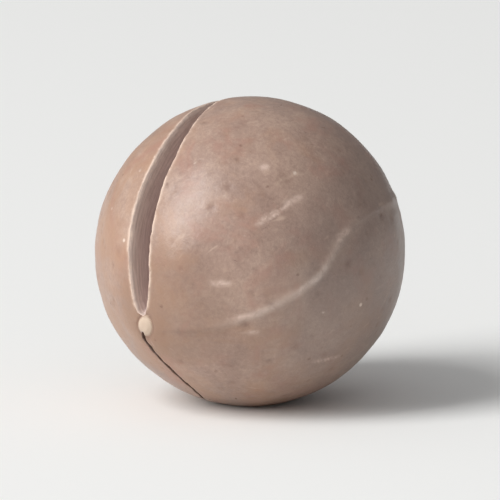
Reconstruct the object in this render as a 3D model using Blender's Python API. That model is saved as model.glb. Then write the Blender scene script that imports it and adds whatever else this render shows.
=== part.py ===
# Macadamia nut in its shell, sawn with a slit so that a key can twist it open.
# It grew as one piece, so it is one object. Metres, +Z up, and its front looks towards -Y.
# The origin is the middle of the bottom of its box, level with the flat spot that it rests on.

import bmesh
import bpy
import numpy as np
from mathutils import Vector

MM = 0.001

# Driving dimensions
NUT_DIAMETER = 23.0 * MM
FLAT_DIAMETER = 4.8 * MM  # the worn spot underneath
SLIT_WIDTH = 1.9 * MM  # at its widest, on the surface
SLIT_DEPTH = 2.8 * MM  # a little more than the thickness of the shell
CRACK_WIDTH = 0.34 * MM
CRACK_DEPTH = 1.1 * MM
SUTURE_WIDTH = 0.8 * MM
SUTURE_HEIGHT = 0.11 * MM
MICROPYLE_LENGTH = 1.6 * MM
MICROPYLE_WIDTH = 1.15 * MM
MICROPYLE_HEIGHT = 0.12 * MM
HILUM_DIAMETER = 8.6 * MM  # the scar where the nut hung in its husk
HILUM_HEIGHT = 0.22 * MM
HILUM_PIT_DIAMETER = 1.6 * MM
HILUM_PIT_DEPTH = 0.2 * MM

NUT_RADIUS = NUT_DIAMETER / 2

# Places on the nut: degrees to the right of its front, then degrees above its middle
MICROPYLE_PLACE = (-44.0, -20.0)
SLIT_SIDE = (57.0, 3.4)  # the way that the slit's plane faces
SUTURE_SIDE = (-57.0, 72.0)  # the way that the suture's plane faces, near enough
SLIT_SHIFT = -0.179 * NUT_RADIUS  # the slit's plane from the nut's middle, along SLIT_SIDE

# Along the slit, in degrees from the top of its plane, counted forwards and down
SLIT_START = -48.0
SLIT_WIDEST = 64.0
SLIT_END = 104.0
CRACK_START = 111.5
CRACK_TURN = 128.0  # where the crack crosses from the left of the slit's plane to the right
CRACK_END = 160.0

SLIT_POWER = 0.55  # under 1 makes the opening fuller than a sine
SLIT_WANDER = 0.19 * MM
SLIT_WANDER_TOP = 37.0  # degrees along the slit where it lies furthest to the right
SLIT_WANDER_PERIOD = 85.0
SLIT_HOMING = 24.0  # over these last degrees the slit turns in to the micropyle
FLOOR_SHARE = 0.62  # the slit's width at its floor, as a share of its width on the surface
FLOOR_DISH = 0.25 * MM
SLIT_STEP = 4.0  # degrees between the cutter's sections
CRACK_SWAY = 0.8 * MM
CRACK_SWAY_PERIOD = 64.0
CRACK_STEP = 3.0
CRACK_SHALLOWING = 0.6  # the share of its depth that the crack has lost at its end
CUTTER_PROUD = 1.0 * MM  # how far a cutter stands out of the shell
CUTTER_FLARE = 1.2  # a cutter's width out there, as a share of its width on the surface
LEAST_WIDTH = 0.12 * MM

# Relief: how the nut differs from a ball
LENGTHENING = 0.010  # longer from micropyle to hilum than across, as a share of the radius
BEAK_HEIGHT = 0.22 * MM
BEAK_SPREAD = 16.0
HILUM_SINK = 0.2 * MM
HILUM_SINK_SPREAD = 32.0
HILUM_EDGE = 0.35 * MM
HILUM_ROUGHNESS = 0.04 * MM
HILUM_GRAIN = (19.0, 23.0)  # waves per radius, up and across the scar
MICROPYLE_SLOPE = (0.55, 1.15)  # its side runs from here to here, in its own radii
HILUM_LOBES = (  # count, turn and share of the radius
    (2, 1.1, 0.05),
    (5, 0.4, 0.05),
    (9, 2.3, 0.04),
    (14, 0.7, 0.03),
)
UNEVENNESS = 0.05 * MM
SWELLS = (  # direction and turn of the low swells, in waves per radius
    (2.1, -1.3, 0.8, 0.4),
    (-0.9, 2.4, 1.7, 2.0),
    (1.2, 1.9, -2.6, 4.1),
)
SUTURE_WAVE = 5.5  # degrees off its plane
SUTURE_WAVE_TURN = 54.0
SUTURE_JOG = 6.0
SUTURE_JOG_PLACE = (66.0, 100.0, 165.0)  # begins, is at its full height, is gone
SUTURE_ENDS = (8.0, 160.0)

# Finishes: name, colour and roughness
WOODY_SHELL = ("woody_shell", (0.26, 0.125, 0.072), 0.38)
HILUM_SCAR = ("hilum_scar", (0.46, 0.33, 0.21), 0.80)
PALE_PLUG = ("micropyle_plug", (0.72, 0.60, 0.46), 0.60)
SAWN_FACE = ("sawn_shell_face", (0.145, 0.075, 0.055), 0.65)

# How finely the shell is divided
BALL_LEVELS = 5
SUTURE_BANDS = (0.9 * MM, 0.45 * MM)  # within each of these of the suture, edges are halved once
HILUM_BAND = 0.8 * MM
FLAT_BAND = 0.9 * MM
MICROPYLE_BAND = 2.2  # in the micropyle's own radii
SHARP_EDGE = 35.0
WELD = 0.001 * MM


def direction(place):
    """The unit vector to a place given as degrees right of the front and degrees up."""
    across, up = np.radians(place)
    return np.array([np.sin(across) * np.cos(up), -np.cos(across) * np.cos(up), np.sin(up)])


def unit(vector):
    return vector / np.linalg.norm(vector)


MICROPYLE = direction(MICROPYLE_PLACE)
HILUM = -MICROPYLE
SLIT_NORMAL = direction(SLIT_SIDE)
SLIT_TOP = unit(np.array([0.0, 0.0, 1.0]) - SLIT_NORMAL[2] * SLIT_NORMAL)
SLIT_FRONT = np.cross(SLIT_NORMAL, SLIT_TOP)
SUTURE_NORMAL = unit(direction(SUTURE_SIDE) - (direction(SUTURE_SIDE) @ MICROPYLE) * MICROPYLE)
SUTURE_AHEAD = np.cross(SUTURE_NORMAL, MICROPYLE)
HILUM_ACROSS = SUTURE_NORMAL
HILUM_UP = np.cross(HILUM, HILUM_ACROSS)


def step_up(low, high, value):
    """A smooth step from 0 at low to 1 at high."""
    t = np.clip((value - low) / (high - low), 0.0, 1.0)
    return t * t * (3.0 - 2.0 * t)


def angle_from(ways, pole):
    return np.arccos(np.clip(ways @ pole, -1.0, 1.0))


# The relief, as heights in metres over unit vectors from the nut's middle


def swells(ways):
    height = np.zeros(len(ways))
    for *wave, turn in SWELLS:
        height += np.sin(ways @ np.array(wave) + turn)
    return UNEVENNESS * height


def beak(ways):
    return BEAK_HEIGHT * np.exp(-((angle_from(ways, MICROPYLE) / np.radians(BEAK_SPREAD)) ** 2))


def suture_offset(ways):
    """How far along the suture each direction lies, in degrees, and how far off its line, in metres."""
    along = np.degrees(np.arctan2(ways @ SUTURE_AHEAD, ways @ MICROPYLE))
    off_plane = np.degrees(np.arcsin(np.clip(ways @ SUTURE_NORMAL, -1.0, 1.0)))
    begins, full, gone = SUTURE_JOG_PLACE
    wave = SUTURE_WAVE * np.sin(2.0 * np.radians(along - SUTURE_WAVE_TURN)) * np.sin(np.radians(along))
    jog = SUTURE_JOG * step_up(begins, full, along) * (1.0 - step_up(full, gone, along))
    return along, np.radians(off_plane - wave - jog) * NUT_RADIUS


def suture(ways):
    along, off = suture_offset(ways)
    begins, ends = SUTURE_ENDS
    present = step_up(begins, 2.0 * begins, along) * (1.0 - step_up(ends - begins, ends, along))
    return SUTURE_HEIGHT * present * np.exp(-((2.0 * off / SUTURE_WIDTH) ** 2))


def micropyle_distance(ways):
    """Distance from the micropyle's middle in its own radii: it is longer along the slit."""
    slit_way = unit(SLIT_TOP - (SLIT_TOP @ MICROPYLE) * MICROPYLE)
    across_way = np.cross(MICROPYLE, slit_way)
    long_share = (ways @ slit_way) * 2.0 * NUT_RADIUS / MICROPYLE_LENGTH
    wide_share = (ways @ across_way) * 2.0 * NUT_RADIUS / MICROPYLE_WIDTH
    return np.where(ways @ MICROPYLE > 0.0, np.hypot(long_share, wide_share), np.inf)


def micropyle(ways):
    return MICROPYLE_HEIGHT * (1.0 - step_up(*MICROPYLE_SLOPE, micropyle_distance(ways)))


def hilum_inside(ways):
    """How far inside the hilum's lobed edge each direction lies, in metres."""
    bearing = np.arctan2(ways @ HILUM_UP, ways @ HILUM_ACROSS)
    edge = np.ones(len(ways))
    for lobes, turn, share in HILUM_LOBES:
        edge += share * np.sin(lobes * bearing + turn)
    return HILUM_DIAMETER / 2 * edge - angle_from(ways, HILUM) * NUT_RADIUS


def hilum(ways):
    off_middle = angle_from(ways, HILUM)
    raised = step_up(-HILUM_EDGE, HILUM_EDGE, hilum_inside(ways))
    rough = np.sin(HILUM_GRAIN[0] * (ways @ HILUM_UP)) * np.sin(HILUM_GRAIN[1] * (ways @ HILUM_ACROSS))
    pit = HILUM_PIT_DEPTH * np.exp(-((off_middle * NUT_DIAMETER / HILUM_PIT_DIAMETER) ** 2))
    sink = HILUM_SINK * np.exp(-((off_middle / np.radians(HILUM_SINK_SPREAD)) ** 2))
    return raised * (HILUM_HEIGHT + HILUM_ROUGHNESS * rough) - pit - sink


def shell_radius(ways):
    """The distance from the nut's middle to its surface, in each direction."""
    lengthwise = LENGTHENING * (1.5 * (ways @ MICROPYLE) ** 2 - 0.5)
    relief = swells(ways) + beak(ways) + suture(ways) + micropyle(ways) + hilum(ways)
    return NUT_RADIUS * (1.0 + lengthwise) + relief


# The shell


def vertex_ways(bm):
    points = np.array([v.co[:] for v in bm.verts])
    return points / np.linalg.norm(points, axis=1)[:, None]


def near_suture(band):
    def near(ways):
        along, off = suture_offset(ways)
        begins, ends = SUTURE_ENDS
        return (np.abs(off) < band) & (along > begins) & (along < ends)

    return near


def near_micropyle(ways):
    return micropyle_distance(ways) < MICROPYLE_BAND


def near_hilum(ways):
    return hilum_inside(ways) > -HILUM_BAND


def near_flat(ways):
    off_rim = np.hypot(ways[:, 0], ways[:, 1]) * NUT_RADIUS - FLAT_DIAMETER / 2
    return (np.abs(off_rim) < FLAT_BAND) & (ways[:, 2] < 0.0)


def refine(bm, near):
    """Halves the ball's edges that touch a vertex in the region that near() tells."""
    chosen = near(vertex_ways(bm))
    edges = [e for e in bm.edges if chosen[e.verts[0].index] or chosen[e.verts[1].index]]
    bmesh.ops.subdivide_edges(bm, edges=edges, cuts=1, use_grid_fill=True)
    bmesh.ops.triangulate(bm, faces=bm.faces[:])
    bm.verts.index_update()


def raise_relief(bm):
    ways = vertex_ways(bm)
    for vertex, way, radius in zip(bm.verts, ways, shell_radius(ways)):
        vertex.co = Vector(way * radius)


def wear_flat(bm):
    """Cuts the flat spot at the bottom, and returns its height."""
    lowest = min(v.co.z for v in bm.verts)
    level = lowest + NUT_RADIUS - np.sqrt(NUT_RADIUS**2 - (FLAT_DIAMETER / 2) ** 2)
    geometry = bm.verts[:] + bm.edges[:] + bm.faces[:]
    cut = bmesh.ops.bisect_plane(
        bm, geom=geometry, dist=WELD, plane_co=(0, 0, level), plane_no=(0, 0, -1), clear_outer=True
    )
    rim = [part for part in cut["geom_cut"] if isinstance(part, bmesh.types.BMEdge)]
    bmesh.ops.contextual_create(bm, geom=rim)
    return level


def paint_scars(mesh):
    """Gives the faces of the hilum and the micropyle their own material slots."""
    for face in mesh.polygons:
        way = np.array([face.center.normalized()[:]])
        if hilum_inside(way)[0] > 0.0:
            face.material_index = 1
        elif micropyle_distance(way)[0] < 1.0:
            face.material_index = 2


def principled(name, colour, roughness):
    material = bpy.data.materials.new(name)
    material.use_nodes = True
    shader = material.node_tree.nodes["Principled BSDF"]
    shader.inputs["Base Color"].default_value = (*colour, 1.0)
    shader.inputs["Roughness"].default_value = roughness
    shader.inputs["Metallic"].default_value = 0.0
    return material


def make_shell():
    bm = bmesh.new()
    bmesh.ops.create_icosphere(bm, subdivisions=BALL_LEVELS, radius=NUT_RADIUS)
    bm.verts.index_update()
    regions = [near_suture(band) for band in SUTURE_BANDS]
    for near in (*regions, near_micropyle, near_micropyle, near_hilum, near_flat):
        refine(bm, near)
    raise_relief(bm)
    level = wear_flat(bm)
    bmesh.ops.recalc_face_normals(bm, faces=bm.faces[:])
    mesh = bpy.data.meshes.new("macadamia_nut")
    bm.to_mesh(mesh)
    bm.free()
    for finish in (WOODY_SHELL, HILUM_SCAR, PALE_PLUG):
        mesh.materials.append(principled(*finish))
    paint_scars(mesh)
    mesh.shade_smooth()
    mesh.set_sharp_from_angle(angle=np.radians(SHARP_EDGE))
    nut = bpy.data.objects.new("macadamia_nut", mesh)
    bpy.context.scene.collection.objects.link(nut)
    corners = np.array([v.co[:] for v in mesh.vertices])
    middle = (corners.min(axis=0) + corners.max(axis=0)) / 2
    nut.location = (-middle[0], -middle[1], -level)
    return nut


# The slit and the crack, each cut by a thin curved blade swept along the slit's plane


def on_blade(angle, off, height):
    """A point near the shell: degrees along the slit, metres off its plane and over the shell."""
    turn = np.radians(angle)
    outwards = np.cos(turn) * SLIT_TOP + np.sin(turn) * SLIT_FRONT
    reach = np.sqrt(NUT_RADIUS**2 - SLIT_SHIFT**2)
    return (SLIT_SHIFT + off) * SLIT_NORMAL + (reach + height) * outwards


def slit_opening(angle):
    """How open the slit is, from 0 at its ends to 1 at its widest."""
    t = np.clip((angle - SLIT_START) / (SLIT_END - SLIT_START), 0.0, 1.0)
    lean = np.log(0.5) / np.log((SLIT_WIDEST - SLIT_START) / (SLIT_END - SLIT_START))
    return max(np.sin(np.pi * t**lean), 0.0) ** SLIT_POWER


def slit_middle(angle):
    """How far the slit's middle wanders off its plane, on its way to the micropyle."""
    turn = 2.0 * np.pi * (angle - SLIT_WANDER_TOP) / SLIT_WANDER_PERIOD
    wander = SLIT_WANDER * np.cos(turn)
    micropyle_off = NUT_RADIUS * (MICROPYLE @ SLIT_NORMAL) - SLIT_SHIFT
    arrived = step_up(SLIT_END - SLIT_HOMING, SLIT_END, angle)
    return wander * (1.0 - arrived) + micropyle_off * arrived


def slit_section(angle):
    opening = slit_opening(angle)
    middle = slit_middle(angle)
    half = max(SLIT_WIDTH * opening, LEAST_WIDTH) / 2
    floor = -SLIT_DEPTH * opening
    corners = (
        (-half * CUTTER_FLARE, CUTTER_PROUD),
        (half * CUTTER_FLARE, CUTTER_PROUD),
        (half, 0.0),
        (half * FLOOR_SHARE, floor),
        (0.0, floor - FLOOR_DISH * opening),
        (-half * FLOOR_SHARE, floor),
        (-half, 0.0),
    )
    return [on_blade(angle, middle + off, height) for off, height in corners]


def crack_section(angle):
    faded = (angle - CRACK_START) / (CRACK_END - CRACK_START)
    half = (CRACK_WIDTH * (1.0 - faded) + LEAST_WIDTH * faded) / 2
    depth = CRACK_DEPTH * (1.0 - CRACK_SHALLOWING * faded)
    middle = CRACK_SWAY * np.sin(2.0 * np.pi * (angle - CRACK_TURN) / CRACK_SWAY_PERIOD)
    corners = (
        (-half * CUTTER_FLARE, CUTTER_PROUD),
        (half * CUTTER_FLARE, CUTTER_PROUD),
        (half, 0.0),
        (0.0, -depth),
        (-half, 0.0),
    )
    return [on_blade(angle, middle + off, height) for off, height in corners]


def make_blade(name, sections, material, nut):
    """A closed cutter through a row of sections, which the nut's Boolean takes away."""
    bm = bmesh.new()
    rings = [[bm.verts.new(Vector(point)) for point in section] for section in sections]
    for ring, following in zip(rings, rings[1:]):
        for i in range(len(ring)):
            j = (i + 1) % len(ring)
            bm.faces.new((ring[i], ring[j], following[j], following[i]))
    bm.faces.new(rings[0])
    bm.faces.new(rings[-1])
    bmesh.ops.triangulate(bm, faces=bm.faces[:])
    bmesh.ops.recalc_face_normals(bm, faces=bm.faces[:])
    mesh = bpy.data.meshes.new(name)
    bm.to_mesh(mesh)
    bm.free()
    mesh.materials.append(material)
    mesh.shade_smooth()
    blade = bpy.data.objects.new(name, mesh)
    bpy.context.scene.collection.objects.link(blade)
    blade.parent = nut
    blade.hide_render = True
    blade.display_type = "WIRE"
    cut = nut.modifiers.new(name, "BOOLEAN")
    cut.operation = "DIFFERENCE"
    cut.solver = "EXACT"
    cut.object = blade
    cut.material_mode = "TRANSFER"


def main():
    for old in list(bpy.data.objects):
        bpy.data.objects.remove(old)
    nut = make_shell()
    sawn_face = principled(*SAWN_FACE)
    slit_angles = np.arange(SLIT_START, SLIT_END + SLIT_STEP / 2, SLIT_STEP)
    crack_angles = np.arange(CRACK_START, CRACK_END + CRACK_STEP / 2, CRACK_STEP)
    make_blade("slit_blade", [slit_section(angle) for angle in slit_angles], sawn_face, nut)
    make_blade("crack_blade", [crack_section(angle) for angle in crack_angles], sawn_face, nut)


main()
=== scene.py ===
import bmesh
import bpy
import numpy as np
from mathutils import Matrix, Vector, noise


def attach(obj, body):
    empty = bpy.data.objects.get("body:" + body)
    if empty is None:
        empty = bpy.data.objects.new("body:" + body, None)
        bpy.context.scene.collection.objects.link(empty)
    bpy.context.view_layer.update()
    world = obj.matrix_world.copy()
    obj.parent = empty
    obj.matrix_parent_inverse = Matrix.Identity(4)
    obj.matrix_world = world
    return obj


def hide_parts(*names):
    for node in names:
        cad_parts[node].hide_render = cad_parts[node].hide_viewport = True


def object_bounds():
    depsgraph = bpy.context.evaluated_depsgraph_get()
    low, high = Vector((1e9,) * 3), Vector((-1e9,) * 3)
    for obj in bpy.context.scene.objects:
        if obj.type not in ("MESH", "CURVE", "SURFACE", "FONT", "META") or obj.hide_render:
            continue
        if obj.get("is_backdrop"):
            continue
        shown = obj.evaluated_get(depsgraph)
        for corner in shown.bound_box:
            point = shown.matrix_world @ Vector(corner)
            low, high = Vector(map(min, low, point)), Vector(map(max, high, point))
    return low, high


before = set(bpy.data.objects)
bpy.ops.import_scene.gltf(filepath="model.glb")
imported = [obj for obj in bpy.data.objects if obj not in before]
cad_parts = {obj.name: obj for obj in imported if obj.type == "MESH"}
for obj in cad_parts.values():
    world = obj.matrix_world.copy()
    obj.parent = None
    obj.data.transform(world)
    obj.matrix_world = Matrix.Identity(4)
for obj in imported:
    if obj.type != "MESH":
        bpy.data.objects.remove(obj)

cadLow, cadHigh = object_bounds()
print("frame loaded:", sorted(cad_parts))

mm = 0.001

# The nut's main measures, its form the solid's own. The finer relief goes on top of it.
nut = {
    "diameter": 23.0 * mm,
    "flatDiameter": 4.8 * mm,
    "flatRim": 0.02 * mm,           # how far the flat spot's rim is worn round
    "middleShare": 0.99,            # how high its middle is above the floor, in radii
    "lengthening": 0.010,           # longer from micropyle to hilum than across, as a share of the radius
    "swellHeight": 0.05 * mm,
    "swells": ((2.1, -1.3, 0.8, 0.4), (-0.9, 2.4, 1.7, 2.0), (1.2, 1.9, -2.6, 4.1)),  # waves and their turn
    "beakHeight": 0.22 * mm,
    "beakSpread": 16.0,             # degrees
}
radius = nut["diameter"] / 2
middleHeight = nut["middleShare"] * radius


def direction(place):  # degrees right of the front and degrees up, to a unit vector
    across, up = np.radians(place)
    return np.array([np.sin(across) * np.cos(up), -np.cos(across) * np.cos(up), np.sin(up)])


def unit(vector):
    return vector / np.linalg.norm(vector)


def stepUp(low, high, value):  # a smooth step from 0 at low to 1 at high
    t = np.clip((value - low) / (high - low), 0.0, 1.0)
    return t * t * (3.0 - 2.0 * t)


def bell(value):  # 1 at 0, fading on both sides
    return np.exp(-(value ** 2))


def angleFrom(ways, pole):
    return np.arccos(np.clip(ways @ pole, -1.0, 1.0))


# Gradient noise with features of that size, about -1 to 1. Each use reads another part of it.
noiseApart = np.array([17.3, 5.1, 9.7])


def noiseAt(points, millimetres, part):
    scaled = points / (millimetres * mm) + noiseApart * part
    return np.array([noise.noise(Vector(p)) for p in scaled])


def twoNoises(points, recipe, part):  # the recipe: both sizes in millimetres, and the second one's share
    first, second, share = recipe
    return noiseAt(points, first, part) + share * noiseAt(points, second, part + 1)


def noiseLine(metres, lane=0.0):  # points along a straight line, to read the noise at
    return np.stack([metres, np.full_like(metres, lane), np.zeros_like(metres)], axis=1)


# Micropyle: the small pale plug at the slit's lower end
micropyle = {
    "place": (-44.0, -20.0),
    "length": 1.7 * mm,
    "width": 1.1 * mm,
    "height": 0.10 * mm,
    "lean": 30.0,                   # degrees that its long axis leans from the slit
    "unevenness": 0.16,             # of its edge, in its own radii
    "unevenSize": 0.7,              # millimetres
    "slope": (0.45, 1.15),          # where its side runs, in its own radii
    "paint": (0.92, 1.20),          # where its pale colour ends
    "moat": 0.05 * mm,              # a fine sunk ring round it
    "moatPlace": 1.25,
    "moatWidth": 0.16,
}
micropyleWay = direction(micropyle["place"])
hilumWay = -micropyleWay

# Slit: sawn through the shell, in degrees from the top of its plane, counted forwards and down.
# Its lower end is a little blunter here than in the solid.
slit = {
    "facing": (57.0, 3.4),
    "shift": -0.179 * radius,
    "start": -48.0,
    "widest": 68.0,
    "end": 105.5,
    "power": 0.42,                  # under 1 makes the opening fuller than a sine
    "width": 1.9 * mm,
    "leastWidth": 0.12 * mm,
    "depth": 2.8 * mm,
    "floorShare": 0.62,             # its width at the floor, as a share of its width on the skin
    "floorDish": 0.25 * mm,
    "wander": 0.19 * mm,
    "wanderTop": 37.0,
    "wanderPeriod": 85.0,
    "homing": 24.0,                 # over these last degrees it turns in to the micropyle
    "chamfers": (0.19 * mm, 0.08 * mm),    # how far the saw broke the left and the right lip back
    "leastChamfer": 0.02 * mm,
    "chips": 0.07 * mm,
    "chipNoise": (0.5, 1.4, 0.8),
    "bites": (2.3, 0.12, 2.2),      # larger chips: size in millimetres, noise where they start, and gain
    "chipReach": 0.3 * mm,          # how far down the wall a chip goes
    "dustReach": 0.15 * mm,         # pale dust on the skin beside the lips
    "dustDepths": (1.0, 1.5),       # in the crack's depths, so that its own lips have none
    "wallRoughness": 0.035 * mm,
    "wallNoise": (0.5, 0.25, 0.6),
    "wallPlace": (0.05, 0.3),       # between these shares of the depth it grows to its full height
    "floorRoughness": 0.14 * mm,
    "floorNoise": (1.3, 0.6, 0.5),
    "floorPlace": (0.7, 1.0),       # the same, for the floor
    "paintedGrooveShade": 0.75,               # painted shade: how dark it gets down to its floor, from 0 to 1
    "scoreStretch": 0.08,           # the saw's marks are drawn out along the cut
}
slitNormal = direction(slit["facing"])
slitTop = unit(np.array([0.0, 0.0, 1.0]) - slitNormal[2] * slitNormal)
slitFront = np.cross(slitNormal, slitTop)

# Crack: the hairline that runs on from the micropyle, in the same degrees
crack = {
    "start": 112.6,
    "turn": 128.0,                  # where it crosses the slit's plane
    "end": 160.0,
    "width": 0.32 * mm,
    "unevenness": 0.6,              # of its width
    "unevenSize": 0.6,              # millimetres
    "depth": 1.1 * mm,
    "shallowing": 0.6,              # the share of its depth that it has lost at its end
    "fullDepth": (0.04, 0.9),       # between these shares of its length
    "sway": 0.8 * mm,
    "swayPeriod": 64.0,
    "jitter": 0.17 * mm,
    "jitterStep": 0.2 * mm,         # metres for each degree
    "jitterNoise": (1.1, 0.45, 0.5),
    "paintedGrooveShade": 0.85,               # painted shade, all the way: it broke open unsawn, so it has no pale dusty edge
}


def slitOpening(angle):  # 0 at the slit's ends, 1 at its widest
    length = slit["end"] - slit["start"]
    t = np.clip((angle - slit["start"]) / length, 0.0, 1.0)
    lean = np.log(0.5) / np.log((slit["widest"] - slit["start"]) / length)
    return np.maximum(np.sin(np.pi * t**lean), 0.0) ** slit["power"]


def slitMiddle(angle):  # how far the slit's middle lies off its plane
    wander = slit["wander"] * np.cos(2.0 * np.pi * (angle - slit["wanderTop"]) / slit["wanderPeriod"])
    plug = radius * (micropyleWay @ slitNormal) - slit["shift"]
    arrived = stepUp(slit["end"] - slit["homing"], slit["end"], angle)
    return wander * (1.0 - arrived) + plug * arrived


def crackMiddle(angle):
    sway = crack["sway"] * np.sin(2.0 * np.pi * (angle - crack["turn"]) / crack["swayPeriod"])
    return sway + crack["jitter"] * twoNoises(noiseLine(angle * crack["jitterStep"]), crack["jitterNoise"], 3)


def crackSection(angles):  # half its width, and its depth
    faded = np.clip((angles - crack["start"]) / (crack["end"] - crack["start"]), 0.0, 1.0)
    half = (crack["width"] * (1.0 - faded) + slit["leastWidth"] * faded) / 2
    along = noiseLine(np.radians(angles) * radius)
    half *= 1.0 + crack["unevenness"] * noiseAt(along, crack["unevenSize"], 12)
    begins, ends = crack["fullDepth"]
    depth = crack["depth"] * (1.0 - crack["shallowing"] * faded)
    return half, depth * stepUp(0.0, begins, faded) * (1.0 - stepUp(ends, 1.0, faded))


# Suture: the faint raised line from the micropyle to the hilum, in degrees from the micropyle
suture = {
    "facing": (-57.0, 72.0),
    "width": 0.8 * mm,
    "height": 0.08 * mm,
    "ends": (8.0, 160.0),
    "wave": 5.5,                    # degrees off its plane
    "waveTurn": 54.0,
    "jog": 8.5,
    "jogPlace": (68.0, 94.0, 165.0),    # begins, is at its full height, is gone
    "lineWidth": 0.6 * mm,          # its pale line is narrower than the ridge, and starts further along
    "lineUnevenness": 0.4,          # of its width
    "lineUnevenSize": 1.2,          # millimetres
    "lineStart": (22.0, 52.0),
    "lineHighlight": (67.0, 10.0),     # where a painted highlight makes it brightest, and how far that reaches
    "lineRest": 0.50,               # its strength elsewhere
    "lineDulls": (84.0, 95.0),      # it dulls towards the hilum, by this share
    "lineDull": 0.85,
}
sutureNormal = unit(direction(suture["facing"]) - (direction(suture["facing"]) @ micropyleWay) * micropyleWay)
sutureAhead = np.cross(sutureNormal, micropyleWay)

# Hilum: the pale rough scar where the nut hung in its husk
hilum = {
    "diameter": 8.6 * mm,
    "height": 0.22 * mm,
    "edge": 0.55 * mm,              # how softly its height ends
    "sink": 0.2 * mm,               # the nut is flatter round it
    "sinkSpread": 32.0,             # degrees
    "pitDiameter": 1.6 * mm,
    "pitDepth": 0.2 * mm,
    "lobes": ((2, 1.1, 0.05), (5, 0.4, 0.05), (9, 2.3, 0.04), (14, 0.7, 0.03)),  # count, turn and share
    "rim": 0.04 * mm,               # a low lip inside its edge
    "rimWidth": 0.5 * mm,
    "fibres": 0.06 * mm,
    "fibreSize": 0.42,              # millimetres
    "roughness": 0.05 * mm,
    "roughNoise": (0.6, 0.33, 0.7),
    "raggedness": 1.5 * mm,         # how far the pale edge's fibres stray
    "strayFibres": 0.9,             # their size in millimetres
    "strayClumps": (1.1, 0.4),      # size in millimetres, and share
    "paleEdge": 0.5 * mm,
    "fleckReach": 6.0 * mm,         # how far round it the skin has more flecks
}
hilumAcross = sutureNormal
hilumUp = np.cross(hilumWay, hilumAcross)

# The skin between them
skin = {
    "seed": 11,
    "unevenness": 0.055 * mm,       # low swells 3 mm across, which break the highlight up
    "unevenNoise": (3.4, 1.7, 0.6),
    "grain": 0.010 * mm,
    "grainNoise": (0.55, 0.36, 0.6),
    "grainStretch": (0.6, 0.3),     # of the noise round the nut and along it, so the grain runs along it
    "pitCount": 260,
    "pitRadius": (0.10 * mm, 0.32 * mm),
    "pitDepth": (0.015 * mm, 0.06 * mm),
    "dents": (                      # place, radius and depth of each larger dent
        ((-1.5, -16.6), 0.36 * mm, 0.07 * mm),
        ((17.0, 38.0), 0.60 * mm, 0.05 * mm),
        ((118.0, -30.0), 0.55 * mm, 0.06 * mm),
        ((-100.0, 34.0), 0.50 * mm, 0.06 * mm),
    ),
    "scuffDepth": 0.02 * mm,
    "scuffEnds": 2.2,               # over 2, so that a rub mark fades within its length
    # place, heading up from rightwards in degrees, length, width and bow of each rub mark
    "scuffs": (
        ((6.4, 23.4), 30.0, 2.1 * mm, 0.20 * mm, 20.0),
        ((18.6, 29.6), 22.0, 1.7 * mm, 0.22 * mm, -40.0),
        ((12.0, 25.6), 34.0, 3.6 * mm, 0.10 * mm, 25.0),
        ((7.0, 43.5), 12.0, 0.9 * mm, 0.22 * mm, 0.0),
        ((-2.4, -13.2), 9.0, 2.3 * mm, 0.15 * mm, -50.0),
        ((0.6, -20.0), 4.0, 1.2 * mm, 0.15 * mm, 60.0),
        ((-10.4, -0.7), 3.0, 1.6 * mm, 0.22 * mm, 30.0),
        ((38.5, 15.0), 22.0, 1.6 * mm, 0.26 * mm, -30.0),
        ((38.0, -36.0), 4.0, 2.4 * mm, 0.12 * mm, 15.0),
        ((88.0, -12.0), 70.0, 4.2 * mm, 0.14 * mm, 20.0),
        ((-118.0, 8.0), -35.0, 3.6 * mm, 0.15 * mm, -18.0),
        ((172.0, -22.0), 15.0, 5.0 * mm, 0.13 * mm, 14.0),
    ),
}


def sutureOffset(ways):  # degrees along the line, and metres off it
    along = np.degrees(np.arctan2(ways @ sutureAhead, ways @ micropyleWay))
    offPlane = np.degrees(np.arcsin(np.clip(ways @ sutureNormal, -1.0, 1.0)))
    begins, full, gone = suture["jogPlace"]
    wave = suture["wave"] * np.sin(2.0 * np.radians(along - suture["waveTurn"])) * np.sin(np.radians(along))
    jog = suture["jog"] * stepUp(begins, full, along) * (1.0 - stepUp(full, gone, along))
    return along, np.radians(offPlane - wave - jog) * radius


def sutureShare(ways):
    along, off = sutureOffset(ways)
    begins, ends = suture["ends"]
    present = stepUp(begins, 2.0 * begins, along) * (1.0 - stepUp(ends - begins, ends, along))
    return present * bell(2.0 * off / suture["width"])


def sutureLine(ways):
    along, off = sutureOffset(ways)
    present = stepUp(*suture["lineStart"], along)
    present *= 1.0 - suture["lineDull"] * stepUp(*suture["lineDulls"], along)
    present *= 1.0 - stepUp(*suture["ends"], along)
    # the pale line, strongest where a painted highlight lies on it
    brightest, reach = suture["lineHighlight"]
    present *= suture["lineRest"] + (1.0 - suture["lineRest"]) * bell((along - brightest) / reach)
    uneven = suture["lineUnevenness"] * noiseAt(ways * radius, suture["lineUnevenSize"], 61)
    return present * bell(2.0 * off / (suture["lineWidth"] * (1.0 + uneven)))


def micropyleDistance(ways):  # in its own radii
    slitWay = unit(slitTop - (slitTop @ micropyleWay) * micropyleWay)
    acrossWay = np.cross(micropyleWay, slitWay)
    lean = np.radians(micropyle["lean"])
    longWay = np.cos(lean) * slitWay - np.sin(lean) * acrossWay
    wideWay = np.cos(lean) * acrossWay + np.sin(lean) * slitWay
    longShare = (ways @ longWay) * nut["diameter"] / micropyle["length"]
    wideShare = (ways @ wideWay) * nut["diameter"] / micropyle["width"]
    edge = 1.0 + micropyle["unevenness"] * noiseAt(ways * radius, micropyle["unevenSize"], 60)
    farAway = 99.0
    return np.where(ways @ micropyleWay > 0.0, np.hypot(longShare, wideShare) / edge, farAway)


def micropyleShare(ways):
    return 1.0 - stepUp(*micropyle["slope"], micropyleDistance(ways))


def moatShare(ways):
    return bell((micropyleDistance(ways) - micropyle["moatPlace"]) / micropyle["moatWidth"])


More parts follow.
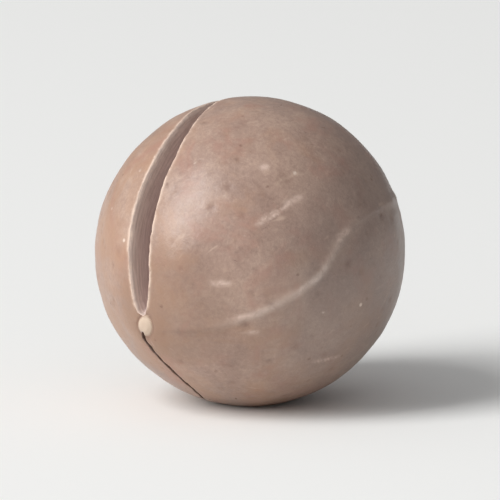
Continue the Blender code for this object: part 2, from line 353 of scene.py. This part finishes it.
def hilumInside(ways):  # metres inside the lobed edge
    bearing = np.arctan2(ways @ hilumUp, ways @ hilumAcross)
    edge = np.ones(len(ways))
    for lobes, turn, share in hilum["lobes"]:
        edge += share * np.sin(lobes * bearing + turn)
    return hilum["diameter"] / 2 * edge - angleFrom(ways, hilumWay) * radius


def scarPitShare(ways):
    return bell(angleFrom(ways, hilumWay) * nut["diameter"] / hilum["pitDiameter"])


def formHeight(ways):  # the relief that the solid has too
    height = np.zeros(len(ways))
    for *wave, turn in nut["swells"]:
        height += nut["swellHeight"] * np.sin(ways @ np.array(wave) + turn)
    height += nut["beakHeight"] * bell(angleFrom(ways, micropyleWay) / np.radians(nut["beakSpread"]))
    height += suture["height"] * sutureShare(ways)
    height += micropyle["height"] * micropyleShare(ways)
    height += hilum["height"] * stepUp(-hilum["edge"], hilum["edge"], hilumInside(ways))
    height -= hilum["pitDepth"] * scarPitShare(ways)
    height -= hilum["sink"] * bell(angleFrom(ways, hilumWay) / np.radians(hilum["sinkSpread"]))
    return height + radius * nut["lengthening"] * (1.5 * (ways @ micropyleWay) ** 2 - 0.5)


def grainWay(ways):  # coordinates that stretch along the meridians from hilum to micropyle
    flat = ways - (ways @ micropyleWay)[:, None] * micropyleWay
    bearing = flat / np.maximum(np.linalg.norm(flat, axis=1), 1e-6)[:, None]
    along = angleFrom(ways, micropyleWay) * radius
    roundShare, alongShare = skin["grainStretch"]
    return bearing * radius * roundShare + micropyleWay * (along * alongShare)[:, None]


def scuffShare(ways):
    total = np.zeros(len(ways))
    for place, heading, length, width, bow in skin["scuffs"]:
        middle = direction(place)
        right = unit(np.cross([0.0, 0.0, 1.0], middle))
        up = np.cross(middle, right)
        turn = np.radians(heading)
        along = ways @ (np.cos(turn) * right + np.sin(turn) * up) * radius
        across = ways @ (np.cos(turn) * up - np.sin(turn) * right) * radius - bow * along**2
        mark = np.exp(-((across / width) ** 2) - (skin["scuffEnds"] * along / length) ** 4)
        total += np.where(ways @ middle > 0.0, mark, 0.0)
    return np.clip(total, 0.0, 1.0)


def pitHeight(ways):
    draw = np.random.default_rng(skin["seed"])
    pits = [(direction(place), reach, depth) for place, reach, depth in skin["dents"]]
    for _ in range(skin["pitCount"]):
        middle = unit(draw.normal(size=3))
        pits.append((middle, draw.uniform(*skin["pitRadius"]), draw.uniform(*skin["pitDepth"])))
    height = np.zeros(len(ways))
    for middle, reach, depth in pits:
        height -= depth * bell(np.linalg.norm(ways - middle, axis=1) * radius / reach)
    return height


def skinHeight(ways):  # the fine relief that the solid leaves out
    points = ways * radius
    height = skin["unevenness"] * twoNoises(points, skin["unevenNoise"], 1)
    height += skin["grain"] * twoNoises(points, skin["grainNoise"], 5)
    height += pitHeight(ways)
    height -= skin["scuffDepth"] * scuffShare(ways)
    height -= micropyle["moat"] * moatShare(ways)
    inside = hilumInside(ways)
    rough = hilum["roughness"] * twoNoises(points, hilum["roughNoise"], 7)
    rough += hilum["fibres"] * noiseAt(grainWay(ways), hilum["fibreSize"], 9)
    height += hilum["rim"] * bell(inside / hilum["rimWidth"] - 1.0)
    return height + stepUp(-hilum["edge"], hilum["edge"], inside) * rough


# The mesh: rings round the slit's own axis, so that its lips, walls and floor each follow a row
rows = {
    "columns": 440,                 # a multiple of 8
    "capAngle": 48.0,               # degrees from the axis where the caps meet the rings
    "left": 34,                     # how many rows lie left of the slit, down each wall, on the floor and right
    "wall": 18,
    "floor": 8,
    "right": 56,
    "lipCrowding": 1.2,             # over 1, so that the rows are closer together at the lips
    "wallCrowding": 1.4,
    "restHalf": 2.6 * mm,           # half the width that the slit's rows take where there is no slit
    "restTurn": 24.0,               # degrees over which they spread out to it
    "plugHalf": 0.62 * mm,          # the same, at the micropyle
    "flatDepth": 0.5 * mm,          # a groove that is less deep has its rows spread evenly
    "stillMiddle": 0.05,            # rows this near the middle don't follow the lips
    "wornDepth": 0.6 * mm,          # from this depth a lip is broken back in full
    "crackWorn": 0.25,              # a crack's lips are broken back less than the saw's, by this share
    "crackMargin": 0.5,             # degrees by which the crack's rows pass its ends
    "crackTakesOver": 3.0,          # degrees past its start where the rows have come over to the crack
    "leastDepth": 0.1 * mm,         # keeps the painted shade of a groove that is hardly there in bounds
    "leastDrop": 0.001 * mm,        # a point that is deeper lies in the groove
}


def grooveSection():  # shares of the half width and of the depth, from the left lip to the right
    down = np.linspace(0.0, 1.0, rows["wall"] + 1)
    floor = np.linspace(-1.0, 1.0, rows["floor"] + 1)[1:-1] * slit["floorShare"]
    across = -1.0 + (1.0 - slit["floorShare"]) * down
    shares = np.concatenate([across, floor, -across[::-1]])
    crowded = down ** rows["wallCrowding"]
    depths = np.concatenate([crowded, np.ones(len(floor)), crowded[::-1]])
    dish = np.maximum(1.0 - (shares / slit["floorShare"]) ** 2, 0.0)
    return shares, depths, dish


def lipBreaks(angles, chamfer, part):  # how far a lip is broken back, along the slit
    along = noiseLine(np.radians(angles) * radius, part * mm)
    size, begins, gain = slit["bites"]
    bites = np.maximum(noiseAt(along, size, part + 2) - begins, 0.0) * gain
    chips = slit["chips"] * (twoNoises(along, slit["chipNoise"], part) + bites)
    return np.maximum(chamfer + chips, slit["leastChamfer"])


def makeRings():
    angles = -180.0 + 360.0 * np.arange(rows["columns"]) / rows["columns"]
    inCrack = (angles > crack["start"] - rows["crackMargin"]) & (angles < crack["end"] + rows["crackMargin"])
    opening = slitOpening(angles)
    crackHalf, crackDepth = crackSection(angles)
    half = np.where(inCrack, crackHalf, np.maximum(slit["width"] * opening, slit["leastWidth"]) / 2)
    depth = np.where(inCrack, crackDepth, slit["depth"] * opening)

    # where there is no groove, its rows spread out over the skin
    before = stepUp(0.0, rows["restTurn"], slit["start"] - angles)
    after = stepUp(0.0, rows["restTurn"], angles - crack["end"])
    spread = rows["restHalf"] * np.maximum(before, after)
    between = np.clip((angles - slit["end"]) / (crack["start"] - slit["end"]), 0.0, 1.0)
    spread = np.maximum(spread, rows["plugHalf"] * 4.0 * between * (1.0 - between))
    rowHalf = np.maximum(half, spread)
    flatness = 1.0 - stepUp(0.0, rows["flatDepth"], depth)

    # their middle line passes from the slit's to the crack's at the micropyle, and rests on the plane behind
    toCrack = stepUp(slit["end"], crack["start"] + rows["crackTakesOver"], angles)
    middle = slitMiddle(np.clip(angles, slit["start"], slit["end"])) * (1.0 - toCrack)
    middle += crackMiddle(np.clip(angles, crack["start"], crack["end"])) * toCrack
    middle *= 1.0 - np.maximum(before, after)

    worn = stepUp(0.0, rows["wornDepth"], depth) * np.where(inCrack, rows["crackWorn"], 1.0)
    leftBreaks, rightBreaks = (
        lipBreaks(angles, chamfer, part) * worn for chamfer, part in zip(slit["chamfers"], (20, 30)))
    shares, depths, dish = grooveSection()
    even = np.linspace(-1.0, 1.0, len(shares))
    across = shares[:, None] * (1.0 - flatness) + even[:, None] * flatness
    drop = depths[:, None] * depth + dish[:, None] * slit["floorDish"] * opening * (depth > 0.0)
    fade = np.exp(-drop / slit["chipReach"])
    breaks = np.where(across < 0.0, -leftBreaks * fade, rightBreaks * fade)
    off = across * rowHalf + middle + breaks * (np.abs(even)[:, None] > rows["stillMiddle"])

    inside = np.arcsin((slit["shift"] + off) / radius)
    lipLeft, lipRight = inside[0], inside[-1]
    border = np.radians(90.0 - rows["capAngle"])
    crowd = rows["lipCrowding"]
    leftShare = 1.0 - (1.0 - np.arange(rows["left"]) / rows["left"]) ** crowd
    rightShare = (np.arange(1, rows["right"] + 1) / rows["right"]) ** crowd
    left = -border + (lipLeft + border) * leftShare[:, None]
    right = lipRight + (border - lipRight) * rightShare[:, None]
    latitudes = np.concatenate([left, inside, right])
    drops = np.concatenate([np.zeros_like(left), drop, np.zeros_like(right)])
    turns = np.radians(np.broadcast_to(angles, latitudes.shape))

    # painted shade in the grooves, darker towards the floor. A shallow stretch is darker for its depth than a
    # deep one: the saw's dust lies on the lips alone
    paintedGrooveShade = slit["paintedGrooveShade"] * (drop / slit["depth"] + drop / np.maximum(depth, rows["leastDepth"])) / 2
    paintedGrooveShade += crack["paintedGrooveShade"] * inCrack
    paintedGrooveShade = np.concatenate([np.zeros_like(left), paintedGrooveShade, np.zeros_like(right)])
    return latitudes, turns, drops, np.clip(paintedGrooveShade, 0.0, 1.0)


def makeCap(side, firstIndex):  # a disc of squares that meets the last ring, as new points and an index grid
    cells = rows["columns"] // 4
    steps = np.linspace(-1.0, 1.0, cells + 1)
    a, b = np.meshgrid(steps, steps, indexing="ij")
    safeA = np.where(a == 0.0, 1.0, a)
    safeB = np.where(b == 0.0, 1.0, b)
    wide = np.abs(a) >= np.abs(b)
    reach = np.where(wide, a, b)
    turn = np.where(wide, np.pi / 4 * b / safeA, np.pi / 2 - np.pi / 4 * a / safeB)
    x, y = reach * np.cos(turn), reach * np.sin(turn)
    x, y = np.where(reach == 0.0, 0.0, x), np.where(reach == 0.0, 0.0, y)
    turn = np.arctan2(y, x)
    latitude = side * (np.pi / 2 - np.hypot(x, y) * np.radians(rows["capAngle"]))
    rim = np.zeros(a.shape, bool)
    rim[[0, -1], :] = True
    rim[:, [0, -1]] = True
    index = np.zeros(a.shape, int)
    column = np.round((np.degrees(turn) + 180.0) / 360.0 * rows["columns"]).astype(int) % rows["columns"]
    index[~rim] = firstIndex + np.arange((~rim).sum())
    return latitude[~rim], turn[~rim], index, rim, column


def waysAt(latitudes, turns):
    outwards = np.cos(turns)[..., None] * slitTop + np.sin(turns)[..., None] * slitFront
    return np.sin(latitudes)[..., None] * slitNormal + np.cos(latitudes)[..., None] * outwards, outwards


def quadsOf(grid):
    return np.stack([grid[:-1, :-1], grid[1:, :-1], grid[1:, 1:], grid[:-1, 1:]], axis=-1).reshape(-1, 4)


def hilumScar(ways):  # the pale area, its edge broken into flecks
    size, share = hilum["strayClumps"]
    stray = noiseAt(grainWay(ways), hilum["strayFibres"], 50) + share * noiseAt(ways * radius, size, 51)
    return stepUp(-hilum["paleEdge"], hilum["paleEdge"], hilumInside(ways) + hilum["raggedness"] * stray)


def lipNearness(ringShape, drops, ways):  # 1 at a lip of the slit, fading over the skin beside it
    near = np.zeros(len(ways))
    lipLeft = rows["left"]
    lipRight = lipLeft + len(grooveSection()[0]) - 1
    grid = np.arange(ringShape[0] * ringShape[1]).reshape(ringShape)
    low, high = slit["dustDepths"]
    sawn = stepUp(low * crack["depth"], high * crack["depth"], drops[grid].max(axis=0))
    for lip, beside in ((lipLeft, range(0, lipLeft + 1)), (lipRight, range(lipRight, ringShape[0]))):
        for row in beside:
            away = np.linalg.norm(ways[grid[row]] - ways[grid[lip]], axis=1) * radius
            near[grid[row]] = bell(away / slit["dustReach"]) * sawn
    return near


def sawWay(turns, drops):  # coordinates along the cut and down it
    return np.stack([turns * radius * slit["scoreStretch"], drops, np.zeros_like(drops)], axis=1)


def makeNut():
    latitudes, turns, drops, paintedGrooveShade = makeRings()
    ringShape = latitudes.shape
    ringIndex = np.arange(latitudes.size).reshape(ringShape)
    wrapped = np.concatenate([ringIndex, ringIndex[:, :1]], axis=1)
    faces = [quadsOf(wrapped)]
    allLatitudes, allTurns = [latitudes.ravel()], [turns.ravel()]
    count = latitudes.size
    for side, ring in ((-1, 0), (1, ringShape[0] - 1)):
        capLatitudes, capTurns, index, rim, column = makeCap(side, count)
        index[rim] = ringIndex[ring, column[rim]]
        quads = quadsOf(index)
        faces.append(quads if side > 0 else quads[:, ::-1])
        allLatitudes.append(capLatitudes)
        allTurns.append(capTurns)
        count += len(capLatitudes)
    latitudes, turns = np.concatenate(allLatitudes), np.concatenate(allTurns)
    onCaps = np.zeros(count - drops.size)
    drops, paintedGrooveShade = np.concatenate([drops.ravel(), onCaps]), np.concatenate([paintedGrooveShade.ravel(), onCaps])
    ways, outwards = waysAt(latitudes, turns)

    inGroove = drops > rows["leastDrop"]
    onSkin = np.exp(-drops / slit["chipReach"])
    points = ways * (radius + formHeight(ways) + skinHeight(ways) * onSkin)[:, None]
    points -= outwards * drops[:, None]
    share = np.clip(drops / slit["depth"], 0.0, 1.0)
    rough = slit["wallRoughness"] * twoNoises(points, slit["wallNoise"], 40)
    points += slitNormal * (rough * stepUp(*slit["wallPlace"], share))[:, None]
    lumps = slit["floorRoughness"] * twoNoises(points, slit["floorNoise"], 42)
    points += outwards * (lumps * stepUp(*slit["floorPlace"], share))[:, None]

    # the flat spot, its rim worn round
    level = points[:, 2].min() + radius - np.sqrt(radius**2 - (nut["flatDiameter"] / 2) ** 2)
    over = (points[:, 2] - level) / nut["flatRim"]
    points[:, 2] = level + nut["flatRim"] * np.logaddexp(0.0, over)
    middle = (points.min(axis=0) + points.max(axis=0)) / 2
    points += np.array([-middle[0], -middle[1], -level])

    marks = {
        "scarShare": hilumScar(ways),
        "scarNear": 1.0 - stepUp(0.0, hilum["fleckReach"], -hilumInside(ways)),
        "scarPit": scarPitShare(ways),
        "plugShare": 1.0 - stepUp(*micropyle["paint"], micropyleDistance(ways)),
        "sutureLine": sutureLine(ways),
        "scuffShare": scuffShare(ways),
        "pitShare": np.clip(np.maximum(-pitHeight(ways) / skin["pitDepth"][1], moatShare(ways)), 0.0, 1.0),
        "lipShare": lipNearness(ringShape, drops, ways),
        "paintedCutShade": paintedGrooveShade,
        "grainWay": grainWay(ways),
        "sawWay": sawWay(turns, drops),
    }
    return points, np.concatenate(faces), marks, inGroove


# Materials
def linear(hexColour):  # sRGB hex to linear, with alpha
    parts = [int(hexColour[i:i + 2], 16) / 255 for i in (1, 3, 5)]
    return tuple(c / 12.92 if c <= 0.04045 else ((c + 0.055) / 1.055) ** 2.4 for c in parts) + (1.0,)


def perMetre(millimetres):  # a pattern's scale from its real size
    return 1.0 / (millimetres * mm)


def addNode(tree, kind, inputs, output=0, ramp=(), **settings):  # inputs go by name or number, or in a row
    node = tree.nodes.new("ShaderNode" + kind)
    for name, value in settings.items():
        setattr(node, name, value)
    for key, value in inputs.items() if isinstance(inputs, dict) else enumerate(inputs):
        if isinstance(value, bpy.types.NodeSocket):
            tree.links.new(value, node.inputs[key])
        else:
            node.inputs[key].default_value = value
    for index, (place, tint) in enumerate(ramp):
        stops = node.color_ramp.elements
        if index == len(stops):
            stops.new(1.0)
        stops[index].position = place
        stops[index].color = linear(tint)
    return node.outputs[output]


def newMaterial(name):
    material = bpy.data.materials.new(name)
    material.use_nodes = True
    return material, material.node_tree, material.node_tree.nodes["Principled BSDF"]


smooth = {"interpolation_type": "SMOOTHSTEP"}

# Macadamia shell: a stone-hard woody wall, husked, dried and tumbled until it is satin.
# The eye gets milk brown in soft clouds, fine pores, a few pale flecks and a wide dull highlight.
shellLook = {
    "tones": ("#90766a", "#a3887a", "#b59a89"),
    "toneEdges": (0.37, 0.50, 0.62),
    "toneWeights": {"cloud": 0.38, "mottle": 0.27, "speck": 0.35},
    # each noise: its size in millimetres and its detail. The real grain is about 0.1 mm, too fine to show, so
    # speck and peel are drawn coarser.
    "noises": {
        "cloud": (6.5, 3.0),
        "mottle": (2.2, 4.0),
        "speck": (0.28, 3.0),
        "peel": (0.16, 2.0),
        "tan": (5.0, 3.0),
        "rose": (3.6, 3.0),
        "broken": (1.1, 3.0),
        "fleck": (0.8, 2.0),
        "fibre": (0.32, 3.0),
    },
    "alongGrain": ("fleck", "fibre"),    # the noises that are drawn out along the nut
    "noiseRoughness": 0.68,
    "noiseDistortion": 0.5,
    "cells": {"pore": 1.5, "crumb": 2.3},    # millimetres between the dots
    "cheekWay": (-0.80, -0.10, -0.25),
    "patchPlaces": {"paintedShadeLowLeft": (-30.0, -11.0), "paintedShadeRight": (62.0, -10.0)},    # painted shade: a dark patch low on the left and a greyer cheek on the right
    "patchBreak": 0.14,             # how far the mottle frays their edges, in radii
    "pitDarkening": 0.36,               # how dark the bottoms of the pits are
    "scarFlecks": 0.09,             # how much thicker the flecks are beside the scar
    # each share: the low and the high end that go in, and what comes out for them
    "levels": {
        "roughness": (0.35, 0.65, 0.27, 0.45),    # waxy places and dry ones
        "lean": (-0.5 * radius, 0.9 * radius, -0.08, 0.12),
        "tan": (0.40, 0.74, 0.0, 0.80),
        "rose": (0.48, 0.72, 0.0, 0.55),
        # the two patches of painted shade
        "paintedShadeLowLeft": (0.94 * radius, 1.05 * radius, 0.0, 0.42),
        "paintedShadeRight": (0.45 * radius, 1.00 * radius, 0.0, 0.42),
        "pore": (0.05, 0.14, 0.5, 0.0),
        "porePlaces": (0.48, 0.58, 0.0, 1.0),
        "crumb": (0.03, 0.09, 0.8, 0.0),
        "crumbPlaces": (0.48, 0.56, 0.0, 1.0),
        "fleck": (0.66, 0.82, 0.0, 0.7),
        "broken": (0.40, 0.56, 0.35, 1.0),
        "line": (0.35, 1.0, 0.60, 1.0),
        "fibres": (0.42, 0.66, 0.0, 0.85),
        "grains": (0.60, 0.32, 0.0, 0.8),
    },
    # the finishes, from the lowest to the topmost: colour and roughness
    "finishes": {
        "tan": ("#a7826a", 0.38),
        "rose": ("#a47a6b", 0.36),
        # the two patches of painted shade, darker and greyer
        "paintedShadeLowLeft": ("#7e6352", 0.36),
        "paintedShadeRight": ("#847974", 0.42),
        "pore": ("#664638", 0.55),
        "fleck": ("#c6ab99", 0.50),
        "crumb": ("#dccabb", 0.75),
        "suture": ("#e0cdc1", 0.42),
        "rub": ("#c9afa1", 0.58),
        "dust": ("#d8c0ae", 0.75),
        "scar": ("#c9ab97", 0.85),
        "scarFibre": ("#e0cbba", 0.85),
        "scarGrain": ("#a07e6b", 0.90),
        "scarPit": ("#5e4334", 0.90),
        "plug": ("#c9b39f", 0.60),
    },
    "ior": 1.5,
    "bumpDepth": 0.028 * mm,
    "bumpStrength": 0.5,
    "poreBump": -0.6,
    "fibreBump": 0.8,
}


def woodyShell():
    look, levels = shellLook, shellLook["levels"]
    material, tree, shader = newMaterial("woodyShell")
    place = addNode(tree, "TexCoord", {}, "Object")
    grain = addNode(tree, "Attribute", {}, "Vector", attribute_name="grainWay")
    mark = {}
    for name in (
            "scarShare", "scarNear", "scarPit", "plugShare",
            "sutureLine", "scuffShare", "pitShare", "lipShare"):
        mark[name] = addNode(tree, "Attribute", {}, "Fac", attribute_name=name)
    noises = {}
    for name, (size, detail) in look["noises"].items():
        noises[name] = addNode(tree, "TexNoise", {
            "Vector": grain if name in look["alongGrain"] else place, "Scale": perMetre(size),
            "Detail": detail, "Roughness": look["noiseRoughness"], "Distortion": look["noiseDistortion"]})

    tone = 0.0
    for name, weight in look["toneWeights"].items():
        tone = addNode(tree, "Math", (noises[name], weight, tone), operation="MULTIPLY_ADD")
    colour = addNode(tree, "ValToRGB", (tone,), ramp=zip(look["toneEdges"], look["tones"]))
    rough = addNode(tree, "MapRange", (noises["mottle"], *levels["roughness"]))

    # tan clouds, most of them on one cheek, and a few rosy ones
    cheek = addNode(tree, "VectorMath", (place, look["cheekWay"]), "Value", operation="DOT_PRODUCT")
    lean = addNode(tree, "MapRange", (cheek, *levels["lean"]))
    tan = addNode(tree, "Math", (noises["tan"], lean), operation="ADD")
    tan = addNode(tree, "MapRange", (tan, *levels["tan"]), **smooth)
    rose = addNode(tree, "MapRange", (noises["rose"], *levels["rose"]), **smooth)

    # painted shade in patches, each on one side, their edges frayed
    fromMiddle = addNode(tree, "VectorMath", (place, (0.0, 0.0, middleHeight)), operation="SUBTRACT")
    fray = look["patchBreak"] * radius
    patch = {}
    for name, middle in look["patchPlaces"].items():
        way = tuple(direction(middle))
        near = addNode(tree, "VectorMath", (fromMiddle, way), "Value", operation="DOT_PRODUCT")
        near = addNode(tree, "Math", (noises["mottle"], fray, near), operation="MULTIPLY_ADD")
        patch[name] = addNode(tree, "MapRange", (near, *levels[name]), **smooth)

    # pores, dark, and crumbs of dried husk, pale: dots in some of the cells
    dots = {}
    for name, spread in (("pore", noises["broken"]), ("crumb", noises["mottle"])):
        scale = perMetre(look["cells"][name])
        cell = addNode(tree, "TexVoronoi", {"Vector": place, "Scale": scale}, "Distance")
        dot = addNode(tree, "MapRange", (cell, *levels[name]), **smooth)
        places = addNode(tree, "MapRange", (spread, *levels[name + "Places"]))
        dots[name] = addNode(tree, "Math", (dot, places), operation="MULTIPLY")
    # the pits and the moat darker by their depth, with the pore dots
    pore = addNode(
        tree, "Math", (mark["pitShare"], look["pitDarkening"], dots["pore"]),
        operation="MULTIPLY_ADD", use_clamp=True)

    # flecks: drawn out along the meridians, and thickest round the scar
    fleck = addNode(
        tree, "Math", (mark["scarNear"], look["scarFlecks"], noises["fleck"]), operation="MULTIPLY_ADD")
    fleck = addNode(tree, "MapRange", (fleck, *levels["fleck"]), **smooth)

    # marks that the noise breaks up
    broken = addNode(tree, "MapRange", (noises["broken"], *levels["broken"]), **smooth)
    rub = addNode(tree, "Math", (mark["scuffShare"], broken), operation="MULTIPLY")
    dust = addNode(tree, "Math", (mark["lipShare"], broken), operation="MULTIPLY")
    # the suture's pale line, partly its own colour and partly a painted highlight
    line = addNode(tree, "MapRange", (broken, *levels["line"]))
    line = addNode(tree, "Math", (mark["sutureLine"], line), operation="MULTIPLY")

    # the scar: fibres that run out from its middle, dark grains between them, and its pit
    fibres = addNode(tree, "MapRange", (noises["fibre"], *levels["fibres"]), **smooth)
    fibres = addNode(tree, "Math", (mark["scarShare"], fibres), operation="MULTIPLY")
    grains = addNode(tree, "MapRange", (noises["speck"], *levels["grains"]), **smooth)
    grains = addNode(tree, "Math", (mark["scarShare"], grains), operation="MULTIPLY")

    for name, share in (
            ("tan", tan), ("rose", rose), ("paintedShadeLowLeft", patch["paintedShadeLowLeft"]), ("paintedShadeRight", patch["paintedShadeRight"]),
            ("pore", pore), ("fleck", fleck), ("crumb", dots["crumb"]), ("suture", line), ("rub", rub),
            ("dust", dust), ("scar", mark["scarShare"]), ("scarFibre", fibres), ("scarGrain", grains),
            ("scarPit", mark["scarPit"]), ("plug", mark["plugShare"])):
        tint, finish = look["finishes"][name]
        colour = addNode(tree, "Mix", {0: share, 6: colour, 7: linear(tint)}, 2, data_type="RGBA")
        rough = addNode(tree, "Mix", {0: share, 2: rough, 3: finish})

    height = addNode(tree, "Math", (noises["peel"], noises["speck"]), operation="ADD")
    height = addNode(tree, "Math", (pore, look["poreBump"], height), operation="MULTIPLY_ADD")
    height = addNode(tree, "Math", (fibres, look["fibreBump"], height), operation="MULTIPLY_ADD")
    bump = addNode(tree, "Bump", {
        "Height": height, "Strength": look["bumpStrength"], "Distance": look["bumpDepth"]})
    tree.links.new(colour, shader.inputs["Base Color"])
    tree.links.new(rough, shader.inputs["Roughness"])
    tree.links.new(bump, shader.inputs["Normal"])
    shader.inputs["IOR"].default_value = look["ior"]
    return material


# Sawn shell: the cut face of the same wall, dry and matt, scored by the saw's teeth.
# The eye gets a pale dusty edge, then brown that painted shade darkens down to the floor.
sawnLook = {
    # from the pale dust on the lips to the painted shade at the floor
    "tones": ("#d9c3b3", "#c8b3a8", "#c2afa9", "#b8a5a1", "#7a5f50"),
    "toneEdges": (0.0, 0.06, 0.41, 0.74, 0.92),
    "grainShare": 0.24,             # of the grain in the tone, about its own middle
    "scored": "#99857d",
    "scoredLevels": (0.40, 0.62, 0.0, 0.4),
    "score": 0.16,                  # tooth marks in millimetres, drawn about twice as coarse as they are
    "scoreDetail": 2.0,
    "grain": 0.45,
    "grainDetail": 4.0,
    "grainRoughness": 0.65,
    "roughness": 0.75,
    "ior": 1.5,
    "bumpDepth": 0.05 * mm,
    "bumpStrength": 0.6,
}


def sawnShell():
    look = sawnLook
    material, tree, shader = newMaterial("sawnShell")
    place = addNode(tree, "TexCoord", {}, "Object")
    # painted shade on the cut faces: none at the lips, where the ramp gives pale dust, and full at the floor
    down = addNode(tree, "Attribute", {}, "Fac", attribute_name="paintedCutShade")
    saw = addNode(tree, "Attribute", {}, "Vector", attribute_name="sawWay")
    score = addNode(tree, "TexNoise", {
        "Vector": saw, "Scale": perMetre(look["score"]), "Detail": look["scoreDetail"]})
    grain = addNode(tree, "TexNoise", {
        "Vector": place, "Scale": perMetre(look["grain"]), "Detail": look["grainDetail"],
        "Roughness": look["grainRoughness"]})
    tone = addNode(tree, "Math", (grain, look["grainShare"], down), operation="MULTIPLY_ADD")
    tone = addNode(tree, "Math", (tone, look["grainShare"] / 2), operation="SUBTRACT", use_clamp=True)
    colour = addNode(tree, "ValToRGB", (tone,), ramp=zip(look["toneEdges"], look["tones"]))
    scored = addNode(tree, "MapRange", (score, *look["scoredLevels"]), **smooth)
    colour = addNode(tree, "Mix", {0: scored, 6: colour, 7: linear(look["scored"])}, 2, data_type="RGBA")
    height = addNode(tree, "Math", (score, grain), operation="ADD")
    bump = addNode(tree, "Bump", {
        "Height": height, "Strength": look["bumpStrength"], "Distance": look["bumpDepth"]})
    tree.links.new(colour, shader.inputs["Base Color"])
    tree.links.new(bump, shader.inputs["Normal"])
    shader.inputs["Roughness"].default_value = look["roughness"]
    shader.inputs["IOR"].default_value = look["ior"]
    return material


def nutObject():
    points, faces, marks, inGroove = makeNut()
    mesh = bpy.data.meshes.new("nutShell")
    mesh.from_pydata(points, [], faces.tolist())
    bm = bmesh.new()
    bm.from_mesh(mesh)
    bmesh.ops.recalc_face_normals(bm, faces=bm.faces[:])
    bm.to_mesh(mesh)
    bm.free()
    for name, values in marks.items():
        kind, key = ("FLOAT_VECTOR", "vector") if values.ndim == 2 else ("FLOAT", "value")
        mesh.attributes.new(name, kind, "POINT").data.foreach_set(key, values.astype(np.float32).ravel())
    mesh.materials.append(woodyShell())
    mesh.materials.append(sawnShell())
    corners = np.zeros(len(mesh.loops), np.int32)
    mesh.loops.foreach_get("vertex_index", corners)
    sawn = (inGroove[corners.reshape(-1, 4)].sum(axis=1) >= 2).astype(np.int32)    # half its corners or more
    mesh.polygons.foreach_set("material_index", sawn)
    mesh.shade_smooth()
    piece = bpy.data.objects.new("nutShell", mesh)
    bpy.context.scene.collection.objects.link(piece)
    return piece


nutShell = nutObject()
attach(nutShell, "root")
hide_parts("macadamia_nut")
print("nut made:", len(nutShell.data.polygons), "faces")

# Stage: a plain pale floor under soft studio light
target = Vector((0.0, 0.0, middleHeight))
studio = {
    "floorRadius": 3.0,
    "floorSides": 96,
    "floor": "#f4f4f2",
    "floorRoughness": 0.9,
    # the room: how bright it is away from the key light and towards it
    "world": ("#5c636c", "#ffffff"),
    "worldStrength": 0.50,
    # each light: its way from the nut, distance in metres, width, height and power in watts
    "lights": {
        "keyLight": ((-0.72, -0.39, 0.60), 1.5, 0.60, 1.35, 24.8),
        "fillLight": ((-0.05, -0.90, 0.42), 1.5, 0.8, 0.8, 0.8),
    },
}


def makeFloor():
    bm = bmesh.new()
    bmesh.ops.create_circle(bm, cap_ends=True, radius=studio["floorRadius"], segments=studio["floorSides"])
    mesh = bpy.data.meshes.new("studioFloor")
    bm.to_mesh(mesh)
    bm.free()
    material, tree, shader = newMaterial("paleFloor")
    shader.inputs["Base Color"].default_value = linear(studio["floor"])
    shader.inputs["Roughness"].default_value = studio["floorRoughness"]
    mesh.materials.append(material)
    floor = bpy.data.objects.new("studioFloor", mesh)
    bpy.context.scene.collection.objects.link(floor)
    floor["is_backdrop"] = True


def makeLight():
    for name, (way, distance, width, height, power) in studio["lights"].items():
        lamp = bpy.data.lights.new(name, "AREA")
        lamp.shape = "RECTANGLE"
        lamp.size, lamp.size_y, lamp.energy = width, height, power
        light = bpy.data.objects.new(name, lamp)
        light.location = target + Vector(way).normalized() * distance
        light.rotation_euler = (target - light.location).to_track_quat("-Z", "Y").to_euler()
        bpy.context.scene.collection.objects.link(light)
    world = bpy.data.worlds.new("studioWorld")
    world.use_nodes = True
    tree, room = world.node_tree, world.node_tree.nodes["Background"]
    way = addNode(tree, "TexCoord", {}, "Generated")
    keyWay = studio["lights"]["keyLight"][0]
    lit = addNode(tree, "VectorMath", (way, keyWay), "Value", operation="DOT_PRODUCT")
    lit = addNode(tree, "MapRange", (lit, -1.0, 1.0))
    dim, bright = (linear(tint) for tint in studio["world"])
    tint = addNode(tree, "Mix", {0: lit, 6: dim, 7: bright}, 2, data_type="RGBA")
    tree.links.new(tint, room.inputs["Color"])
    room.inputs["Strength"].default_value = studio["worldStrength"]
    bpy.context.scene.world = world
    bpy.context.scene.view_settings.view_transform = "Standard"


makeFloor()
makeLight()
print("stage made")

# Camera: level with the photograph's, which looks down on the nut by about 11 degrees from over a metre away
view = {
    "elevation": 11.0,
    "distance": 1.2,
    "nutShare": 0.62,               # of the picture's width
    "sensor": 36.0,
    "clip": (0.05, 20.0),
}
camera = bpy.data.objects.new("camera", bpy.data.cameras.new("camera"))
camera.data.sensor_width = view["sensor"]
camera.data.lens = view["sensor"] * view["distance"] * view["nutShare"] / nut["diameter"]
camera.data.clip_start, camera.data.clip_end = view["clip"]
camera.location = target + Vector(direction((0.0, view["elevation"]))) * view["distance"]
camera.rotation_euler = (target - camera.location).to_track_quat("-Z", "Y").to_euler()
bpy.context.scene.collection.objects.link(camera)
bpy.context.scene.camera = camera
print("camera set")

low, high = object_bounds()
for name, size in (("visual", high - low), ("cad", cadHigh - cadLow)):
    print("size in millimetres,", name, [round(v / mm, 2) for v in size])
